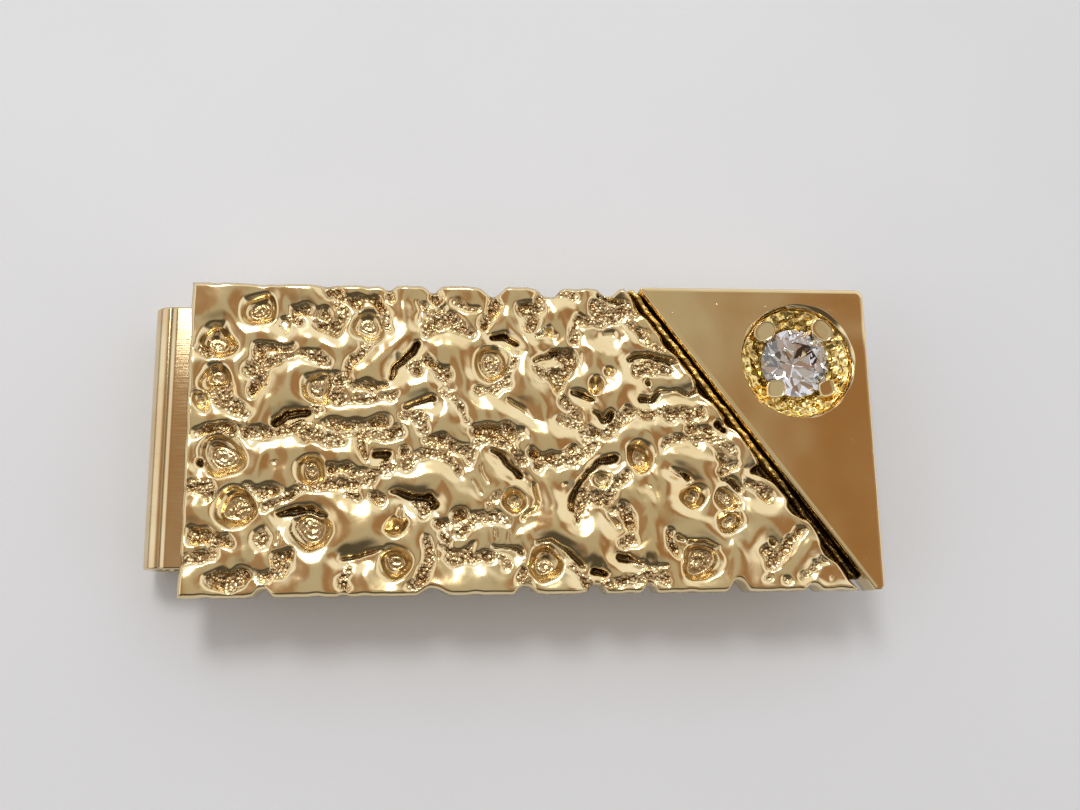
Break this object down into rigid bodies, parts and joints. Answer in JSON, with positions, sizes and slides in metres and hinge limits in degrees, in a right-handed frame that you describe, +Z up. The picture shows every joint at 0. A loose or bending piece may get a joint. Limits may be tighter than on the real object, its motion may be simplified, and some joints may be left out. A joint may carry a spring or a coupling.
{
  "type": "money clip",
  "caption": "Folding spring money clip with a nugget-textured gold front, a polished corner and a round stone in a recessed claw setting.",
  "frame": {"origin": "middle of the clip's outline at the level of its underside, where it lies on a table", "axes": "+X from the fold toward the stone, +Y along the fold toward the upper edge of the front, +Z up out of the decorated front"},
  "size_m": [0.0524, 0.0222, 0.0067],
  "materials": {
    "nugget_gold": "bright cast nugget texture, gold plated, dark in the hollows",
    "polished_gold": "mirror polished, gold plated, lightly scratched",
    "groove_gold": "rough, darkened between the panels",
    "setting_gold": "textured bright dish and polished claws",
    "spring_gold": "polished, gold plated spring strip with fine lengthwise lines",
    "clear_stone": "clear faceted cubic zirconia"
  },
  "bodies": {
    "tongue": {"clip_tongue": "spring_gold"},
    "front": {"nugget_panel": "nugget_gold", "corner_panel": "polished_gold", "divider_rail": "groove_gold", "stone_cup": "setting_gold", "prong_upper_left": "setting_gold", "prong_upper_right": "setting_gold", "prong_lower_left": "setting_gold", "prong_lower_right": "setting_gold", "gemstone": "clear_stone", "clip_front_leaf": "spring_gold"}
  },
  "joints": [
    {"name": "tongue_flex", "type": "hinge", "parent": "tongue", "child": "front", "pos_m": [-0.0262, 0, 0.002], "axis": [0, -1, 0], "range_deg": [0, 7], "stiffness_Nm_per_rad": 1.2, "springref_deg": -2.86}
  ]
}
